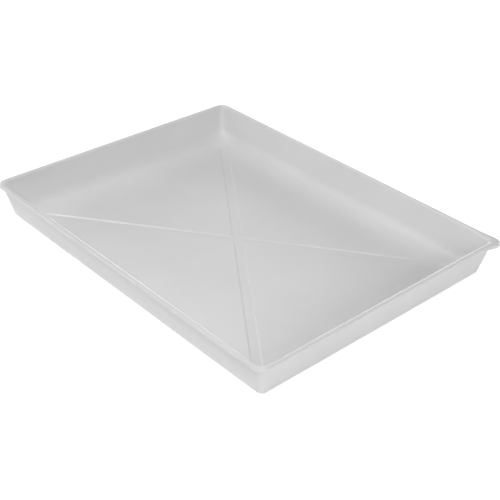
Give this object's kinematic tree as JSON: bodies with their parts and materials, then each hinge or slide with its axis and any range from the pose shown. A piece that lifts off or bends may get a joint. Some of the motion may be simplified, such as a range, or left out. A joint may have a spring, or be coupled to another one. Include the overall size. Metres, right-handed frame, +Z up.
{
  "type": "developing tray",
  "caption": "Shallow rectangular darkroom tray with leaning walls, a narrow turned-down rim with one pouring corner, and crossed channels in the floor.",
  "frame": {"origin": "where the two channels cross, on the plane the tray rests on; also the middle of the rim without the pouring corner", "axes": "+X along the tray's length, +Y along its width, +Z up out of the basin; the pouring corner is at +X, +Y"},
  "size_m": [0.4733, 0.3553, 0.043],
  "materials": {
    "tray_plastic": "satin"
  },
  "bodies": {
    "root": {"tray": "tray_plastic"}
  },
  "joints": []
}
